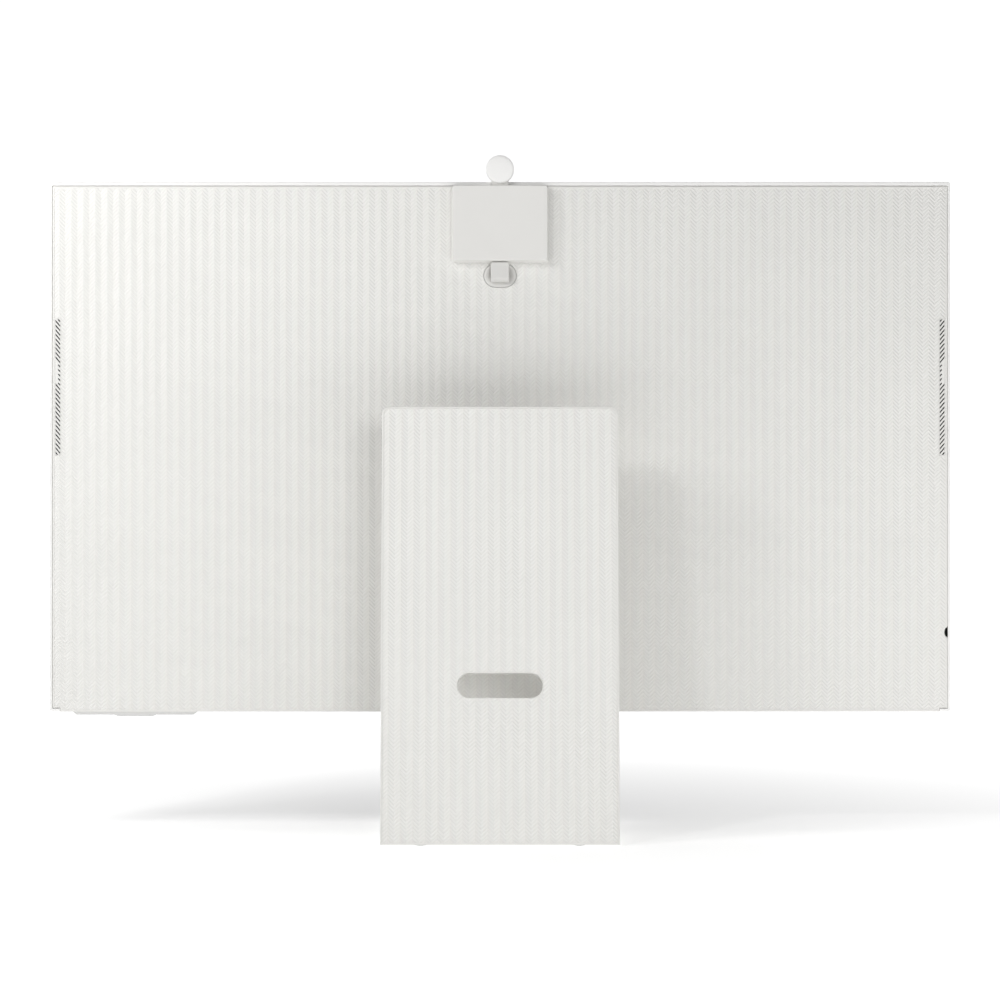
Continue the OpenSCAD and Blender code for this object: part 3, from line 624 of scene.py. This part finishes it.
def make_camera_block():
    """The block, which narrows towards its rear face, and the neck that carries the head."""
    shell_lo, shell_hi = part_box("camera_shell")
    draft = 1.9 * MM           # how much the sides and the foot lean in
    edge = 0.7 * MM
    low, top = shell_lo.z, shell_lo.z + CAMERA_H
    half = shell_hi.x
    rings = []

    def ring(inset, top_inset, y, r):
        outline = rounded((-half + inset, half - inset), (low + inset, top - top_inset), r, 8)
        rings.append([(x, y, z) for x, z in outline])

    ring(0.5 * MM, 0.5 * MM, DISC_Y, 2.2 * MM)
    ring(0, 0, DISC_Y + 0.5 * MM, 2.6 * MM)
    for a in quarter_turn(5):
        turned = edge * (1 - math.cos(a))
        ring(draft - edge + turned, turned, DISC_Y + CAMERA_T - edge + edge * math.sin(a), 2.0 * MM)
    body = loft("camera_shell", rings)
    finish_piece(soften(body, 50), camera_casing, "camera", "camera_casing", "camera_shell")
    neck_half = 6.8 * MM
    neck_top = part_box("camera_head")[0].z + 3.5 * MM
    outline = rounded((-neck_half, neck_half), (top - 2 * MM, neck_top), 0.6 * MM, 4)
    neck = shell("camera_neck", [outline], (DISC_Y, DISC_Y + 3 * MM), 0.4 * MM)
    finish_piece(soften(neck), camera_casing, "camera", "camera_casing", "camera_shell")


def make_camera_head():
    """The head: a barrel bored for the lens, behind it a wider disc with a domed rear face."""
    lo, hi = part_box("camera_head")
    centre = (lo + hi) / 2
    disc_r = (hi.x - lo.x) / 2
    front, back = lo.y, hi.y
    barrel_r = 9.2 * MM
    bore = barrel_r - 1.5 * MM
    edge = 0.6 * MM
    chamfer = 0.4 * MM
    dome = 1.2 * MM
    lift = 0.3 * MM            # part of the dome's height taken up by the disc's round edge
    rim = back - dome + lift
    flat = disc_r - edge
    profile = [(0, front + 5 * MM), (bore - 1.5 * MM, front + 5 * MM), (bore, front + 0.2 * MM),
               (bore + 0.2 * MM, front)]
    turn = quarter_turn(4)
    profile += [(barrel_r - edge + edge * math.sin(a), front + edge - edge * math.cos(a)) for a in turn]
    profile += [(barrel_r, DISC_Y), (disc_r - chamfer, DISC_Y), (disc_r, DISC_Y + chamfer)]
    profile += [(flat + edge * math.cos(a), rim - edge + edge * math.sin(a)) for a in turn]
    profile += [(flat * math.cos(a), rim + (dome - lift) * math.sin(a)) for a in quarter_turn(8)[1:-1]]
    profile.append((0, back))
    head = lathe("camera_head", profile, centre)
    finish_piece(soften(head, 35), head_casing, "camera", "camera_casing", "camera_head")
    make_lens(centre)


def make_lens(centre):
    """The lens: a dark disc with a shallow crown and a short stem."""
    lo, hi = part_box("camera_lens")
    r = (hi.x - lo.x) / 2
    stem = 4 * MM
    crown = 0.9 * MM           # how far the middle of the glass stands out
    rim = 0.9 * MM             # thickness of the glass at its edge
    glass = moulded("lens_glass", (0.008, 0.008, 0.014), rough=(0.03, 0.06), tone=0.2, grain=0.0005 * MM)
    profile = [(0, lo.y - crown), (2.5 * MM, lo.y - 0.6 * MM), (4.2 * MM, lo.y), (4.6 * MM, lo.y + 0.1 * MM),
               (r, lo.y), (r, lo.y + rim), (stem, lo.y + rim), (stem, hi.y), (0, hi.y)]
    lens = lathe("camera_lens", profile, centre)
    finish_piece(soften(lens, 30), glass, "camera", "lens", "camera_lens")


def make_camera_tab():
    """The tongue under the camera block: wide, thin and bent into the socket."""
    lo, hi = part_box("camera_tab")
    half = (hi.x - lo.x) / 2
    out = hi.y
    bend = out - DISC_Y
    stations = [(hi.z, 0.0), (hi.z - 1 * MM, 0.0), (lo.z + bend + 4 * MM, 0.0)]
    for a in quarter_turn(8)[1:]:
        stations.append((lo.z + bend - bend * math.sin(a) * 0.98, bend * (1 - math.cos(a))))
    r = 1.1 * MM
    rings = []
    for k, (z, back) in enumerate(stations):     # a height and how far the tongue has bent there
        y1 = out - back * 0.96
        y0 = DISC_Y + 0.05 * MM if z > lo.z + bend else lo.y
        grow = 0.6 * MM if k == 0 else 0.0
        w = half - grow
        rr = min(r, (y1 - y0) / 2.2)
        points = []
        for cx, cy, start in ((w, y1, 0), (-w, y1, 90), (-w, y0, 180), (w, y0, 270)):
            mx = cx - rr if cx > 0 else cx + rr
            my = cy - rr if cy == y1 else cy + rr
            for turned in quarter_turn(4):
                a = math.radians(start) + turned
                points.append((mx + rr * math.cos(a), my + rr * math.sin(a), z))
        rings.append(points)
    tab = loft("camera_tab", rings)
    outline = rounded((-half - MM, half + MM), (lo.z, hi.z + MM), [2.8 * MM, 0, 0, 2.8 * MM])
    combine(tab, [prism(outline, (lo.y - MM, hi.y + MM))], "INTERSECT")
    finish_piece(soften(tab, 50), socket_casing, "camera", "socket_casing", "camera_tab")


def make_camera_socket():
    """A shallow smooth dish with four spring contacts, sunk in the cover."""
    lo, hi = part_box("camera_socket")
    c = (lo + hi) / 2
    w, h = hi.x - lo.x, hi.z - lo.z
    y1 = hi.y
    floor_y = REAR - 3 * MM
    rings = []

    def ring(inset, y):
        rings.append([(x, y, z) for x, z in pill(c.x, c.z, w - 2 * inset, h - 2 * inset)])

    ring(0.6 * MM, lo.y)
    ring(0, lo.y + 0.5 * MM)
    ring(0, y1 - 0.2 * MM)
    ring(0.2 * MM, y1)
    reach = h / 2 - 1 * MM         # the bowl deepens smoothly from its rim to a small floor
    for i in range(1, 13):
        t = i / 12
        ring(0.4 * MM + (reach - 0.4 * MM) * t, y1 - (y1 - floor_y) * (1 - math.cos(math.pi * t)) / 2)
    cup = loft("camera_socket", rings)
    finish_piece(soften(cup, 50), socket_casing, "screen", "socket_casing", "camera_socket")
    profile = [(0, floor_y - 0.3 * MM), (0.7 * MM, floor_y - 0.3 * MM), (0.7 * MM, floor_y + 0.2 * MM),
               (0.45 * MM, floor_y + 0.4 * MM), (0, floor_y + 0.45 * MM)]
    pitch = 2.6 * MM
    for i in range(4):
        x = c.x + (i - 1.5) * pitch
        tip = lathe(f"socket_contact_{i + 1}", profile, Vector((x, 0, c.z)), 24)
        finish_piece(soften(tip), bronze, "screen", "bronze")


# ---- control pod ----

def make_pod():
    """The pod under the screen's lower edge and the power button in it."""
    lo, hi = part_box("control_pod")
    slope = 4 * MM
    outline = [(lo.x, hi.z), (lo.x + slope, lo.z), (hi.x - slope, lo.z), (hi.x, hi.z)]
    pod = shell("control_pod", [outline], (lo.y, hi.y), 0.5 * MM)
    b_lo, b_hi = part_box("power_button")
    gap = 0.35 * MM
    combine(pod, [block((b_lo.x - gap, b_lo.y - gap, lo.z - MM), (b_hi.x + gap, b_hi.y + gap, hi.z + MM))])
    finish_piece(soften(pod), pod_casing, "screen", "pod_casing", "control_pod")
    side = 3 * MM
    knee = b_lo.z + 1.4 * MM
    outline = [(b_lo.x, b_hi.z), (b_lo.x, knee), (b_lo.x + side, b_lo.z), (b_hi.x - side, b_lo.z),
               (b_hi.x, knee), (b_hi.x, b_hi.z)]
    button = shell("power_button", [outline], (b_lo.y, b_hi.y), 0.35 * MM)
    finish_piece(soften(button), pod_casing, "button", "pod_casing", "power_button")


# ---- stand ----

HOUSE_LO, HOUSE_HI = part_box("upright_housing")
SLIDE = Vector(JOINTS["height_slide"]["axis"])
LEAN = math.atan2(-SLIDE.y, SLIDE.z)
FOOT = HOUSE_LO.z          # height of the upright's lower end
TO_WORLD = Matrix.Translation((0, HOUSE_HI.y, FOOT)) @ Matrix.Rotation(LEAN, 4, "X")
UP_L = (HOUSE_HI.z - FOOT) / math.cos(LEAN)      # length of the upright along its lean
UP_T = (HOUSE_HI.y - UP_L * math.sin(LEAN) - HOUSE_LO.y) / math.cos(LEAN)      # its thickness
UP_HALF = HOUSE_HI.x       # half its width
UP_R = 6 * MM              # radius of its upper corners
RIM = 1.4 * MM             # width of its rim around the rear panel


def in_upright(point):
    """A point in the upright's own directions: across, through and along it."""
    return TO_WORLD.inverted() @ Vector(point)


def upright_contour(inset, low=-20 * MM):
    """The upright's outline, moved in. It runs on below the foot, where it is cut off level."""
    r = max(UP_R - inset, 0.2 * MM)
    return rounded((-UP_HALF + inset, UP_HALF - inset), (low, UP_L - inset), [0, r, r, 0], 10)


def cable_hole():
    """The contour of the long hole inside its liner."""
    lo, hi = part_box("cable_hole_liner")
    centre = in_upright((lo + hi) / 2)
    wall = 1.5 * MM
    return pill(0, centre.z, hi.x - lo.x - 2 * wall, 19.1 * MM, 24)


def floor_cut(height):
    """Everything below a height over the desk."""
    return block((-1, -1, -1), (1, 1, height))


def arm_slot():
    """The contour of the slot in the upright's front, as long as the arm's travel."""
    pin_lo, pin_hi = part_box("hinge_pin")
    pin = in_upright((pin_lo + pin_hi) / 2)
    down, up = JOINTS["height_slide"]["range_m"]
    arm_half = 12 * MM
    play = 1.5 * MM
    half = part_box("spring_coils")[1].x + 7 * MM + play
    return rounded((-half, half), (pin.z - arm_half + down - play, pin.z + arm_half + up + play), MM, 4)


def make_upright_housing():
    """The upright's shell: open at the rear for the panel, slotted in front for the arm."""
    front_wall = 2 * MM
    house = shell("upright_housing", [upright_contour(0)], (-UP_T, 0), 0.7 * MM, 4)
    cavity = prism(upright_contour(RIM), (front_wall - UP_T, CLEAR))
    place(cavity, TO_WORLD)
    place(house, TO_WORLD)
    combine(cavity, [floor_cut(FOOT + 1.6 * MM)])
    slot = prism(arm_slot(), (-UP_T - 1 * MM, front_wall - UP_T + 1 * MM))
    hole = prism(cable_hole(), (-UP_T - CLEAR, CLEAR))
    combine(house, [cavity, place(slot, TO_WORLD), place(hole, TO_WORLD), floor_cut(FOOT)])
    finish_piece(soften(house), upright_casing, "stand", "white_casing", "upright_housing")


def make_upright_panel():
    """The rear panel of the upright with its textured pad."""
    top = -0.1 * MM            # depth of the panel's face under the housing's rim
    edge = upright_contour(RIM + 0.05 * MM)
    plate = shell("upright_panel", [edge, cable_hole()], (-2 * MM, top), 0.25 * MM)
    area = ((-UP_HALF, UP_HALF), (-20 * MM, UP_L))
    pad_hole = moved_in(cable_hole(), -0.5 * MM)
    relief = weave_pad(plate, "upright_panel_weave", area, moved_in(edge, 0.35 * MM), [pad_hole], top)
    for piece in (plate, relief):
        place(piece, TO_WORLD)
        combine(piece, [floor_cut(FOOT + 0.2 * MM)])
    finish_piece(soften(plate), upright_casing, "stand", "white_casing", "upright_panel")
    weave = woven_with_painted_shade("upright_weave", LIT_UPRIGHT_WHITE, *area, TO_WORLD.inverted())
    finish_piece(relief, weave, "stand", "white_casing", "upright_panel")


def make_base():
    """The foot's upper shell, hollow below and cut off where the upright stands."""
    lo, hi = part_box("base_cover")
    half = hi.x
    r = 4 * MM
    chamfer = 0.3 * MM
    top_edge = 0.8 * MM
    wall, roof = 1.6 * MM, 1.5 * MM
    back = HOUSE_HI.y
    rings = []
    levels = [(chamfer, lo.z), (0, lo.z + chamfer)]
    levels += [(top_edge * (1 - math.cos(a)), hi.z - top_edge + top_edge * math.sin(a))
               for a in quarter_turn(4)]
    for inset, z in levels:
        outline = rounded((-half + inset, half - inset), (lo.y + inset, back), [r, 0, 0, r], 8)
        rings.append([(x, y, z) for x, y in outline])
    cover = loft("base_cover", rings)
    behind = prism(rounded((-1, 1), (-0.05, 1), 0), (-UP_T - 0.1 * MM, 1))
    inside = block((-half + wall, lo.y + wall, -1), (half - wall, back + 1, hi.z - roof))
    combine(cover, [place(behind, TO_WORLD), inside])
    finish_piece(soften(cover), upright_casing, "stand", "white_casing", "base_cover")


# Across, along and radius of each foot
FEET = [(-72 * MM, -84 * MM, 8 * MM), (-72 * MM, 66 * MM, 8 * MM), (72 * MM, -84 * MM, 8 * MM),
        (72 * MM, 66 * MM, 8 * MM), (-60 * MM, 88 * MM, 5 * MM), (60 * MM, 88 * MM, 5 * MM)]


def make_feet():
    """Round rubber feet with a bevelled lower edge."""
    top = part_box("rubber_feet")[1].z
    bevel = 0.35 * MM
    for i, (x, y, r) in enumerate(FEET):
        profile = [(0, -top), (r, -top), (r, -bevel), (r - bevel, 0), (0, 0)]
        foot = lathe(f"rubber_foot_{i + 1}", profile, Vector((0, 0, 0)), 48)
        place(foot, Matrix.Translation((x, y, 0)) @ Matrix.Rotation(math.radians(-90), 4, "X"))
        finish_piece(soften(foot), feet_rubber, "stand", "feet_rubber", "rubber_feet")


def make_neck_cover():
    """The sleeve over the arm. It leans with the upright, so its length is read in that direction."""
    lo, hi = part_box("neck_cover")
    corners = [in_upright(v.co) for v in frame["nodes"]["neck_cover"].data.vertices]
    ys = [c.y for c in corners]
    zs = [c.z for c in corners]
    wall = 2.8 * MM
    side = 3.3 * MM
    outline = rounded((lo.x, hi.x), (min(zs), max(zs)), 5 * MM)
    bore = rounded((lo.x + side, hi.x - side), (min(zs) + wall, max(zs) - wall), 0.5 * MM, 3)
    sleeve = shell("neck_cover", [outline, bore], (min(ys), max(ys)), 0.8 * MM)
    place(sleeve, TO_WORLD)
    finish_piece(soften(sleeve), white_casing, "lift", "white_casing", "neck_cover")


# ---- stage ----

def make_floor():
    """A round sheet of white paper that fades into the white background away from the object."""
    bm = bmesh.new()
    bmesh.ops.create_circle(bm, cap_ends=True, radius=FLOOR_RADIUS, segments=96)
    floor = mesh_object("floor", bm)
    mat, tree, shader = material_base("floor_paper")
    cloud = texture(tree, "ShaderNodeTexNoise", 3, Detail=2.0)
    tint = ramp(tree, cloud.outputs["Fac"], [(0.3, (0.93, 0.93, 0.93)), (0.7, (0.95, 0.95, 0.95))])
    tree.links.new(tint, shader.inputs["Base Color"])
    shader.inputs["Roughness"].default_value = 0.9
    shader.inputs["Specular IOR Level"].default_value = 0.1
    shader.inputs["Emission Color"].default_value = (1, 1, 1, 1)
    spot = tree.nodes.new("ShaderNodeTexCoord")
    far = tree.nodes.new("ShaderNodeVectorMath")
    far.operation = "LENGTH"
    fade = tree.nodes.new("ShaderNodeMapRange")
    for key, value in zip(("From Min", "From Max", "To Min", "To Max"), FADE + FLOOR_GLOW):
        fade.inputs[key].default_value = value
    tree.links.new(spot.outputs["Object"], far.inputs[0])
    tree.links.new(far.outputs["Value"], fade.inputs["Value"])
    tree.links.new(fade.outputs["Result"], shader.inputs["Emission Strength"])
    floor.data.materials.append(mat)


def make_world(strength):
    """White light from all round, faint on the object and full where the background is seen."""
    world = bpy.data.worlds.new("studio")
    bpy.context.scene.world = world
    world.use_nodes = True
    tree = world.node_tree
    back = tree.nodes["Background"]
    back.inputs["Color"].default_value = (1, 1, 1, 1)
    back.inputs["Strength"].default_value = strength
    seen = tree.nodes.new("ShaderNodeBackground")
    seen.inputs["Color"].default_value = (1, 1, 1, 1)
    seen.inputs["Strength"].default_value = 1.05
    path = tree.nodes.new("ShaderNodeLightPath")
    mix = tree.nodes.new("ShaderNodeMixShader")
    tree.links.new(path.outputs["Is Camera Ray"], mix.inputs["Fac"])
    tree.links.new(back.outputs["Background"], mix.inputs[1])
    tree.links.new(seen.outputs["Background"], mix.inputs[2])
    tree.links.new(mix.outputs["Shader"], tree.nodes["World Output"].inputs["Surface"])


def add_light(name, place_at, aim, size, power):
    """A round soft light at one point, turned towards another."""
    data = bpy.data.lights.new(name, "AREA")
    data.shape = "DISK"
    data.size = size
    data.energy = power
    light = bpy.data.objects.new(name, data)
    light.location = place_at
    light.rotation_euler = (Vector(aim) - Vector(place_at)).to_track_quat("-Z", "Y").to_euler()
    bpy.context.scene.collection.objects.link(light)


FLOOR_RADIUS = 1.7
FADE = (0.15, 0.75)        # metres from the middle over which the paper brightens
FLOOR_GLOW = (0.48, 0.9)   # the paper's own glow before and after that stretch
WORLD_LIGHT = 0.13
LIGHTS = {                 # place, aim, size and power
    "key": ((1.2, 1.7, 1.65), (0, 0, 0.3), 0.3, 6),
    "left": ((1.5, 1.3, 1.35), (0, 0, 0.35), 0.4, 1.3),
    "upper_left": ((0.62, 0.4, 0.72), (0.3, 0, 0.45), 0.25, 1.6),
    "low_right": ((-0.6, 0.45, 0.2), (-0.25, 0, 0.15), 0.45, 0.4),
    "behind_camera": ((-1.1, 3.5, 0.85), (0, 0, 0.3), 1.4, 23),
    "front": ((-0.6, -2.2, 1.5), (0, 0, 0.3), 2.0, 10),
}


def make_camera_and_lights():
    """A level view of the object's rear from a little over two metres."""
    distance = 2.1
    height = 260.83 * MM
    film = 36                  # in millimetres, as is the lens
    wide = 0.9                 # share of the picture's width that the screen takes
    data = bpy.data.cameras.new("camera")
    data.sensor_width = film
    data.lens = film * wide * (distance - REAR) / (FRAME_HI.x - FRAME_LO.x)
    data.clip_end = 100
    camera = bpy.data.objects.new("camera", data)
    camera.location = (0, distance, height)
    camera.rotation_euler = (math.radians(90), 0, math.radians(180))
    bpy.context.scene.collection.objects.link(camera)
    bpy.context.scene.camera = camera
    make_world(WORLD_LIGHT)
    for name, (at, aim, size, power) in LIGHTS.items():
        add_light(name, at, aim, size, power)
    bpy.context.scene.view_settings.view_transform = "Standard"


make_camera_and_lights()
dress_cad_nodes()
make_rear_cover()
make_frame()
make_lock_pocket()
make_front()
make_camera_block()
make_camera_head()
make_camera_tab()
make_camera_socket()
make_pod()
make_upright_housing()
make_upright_panel()
make_base()
make_feet()
make_neck_cover()
make_floor()
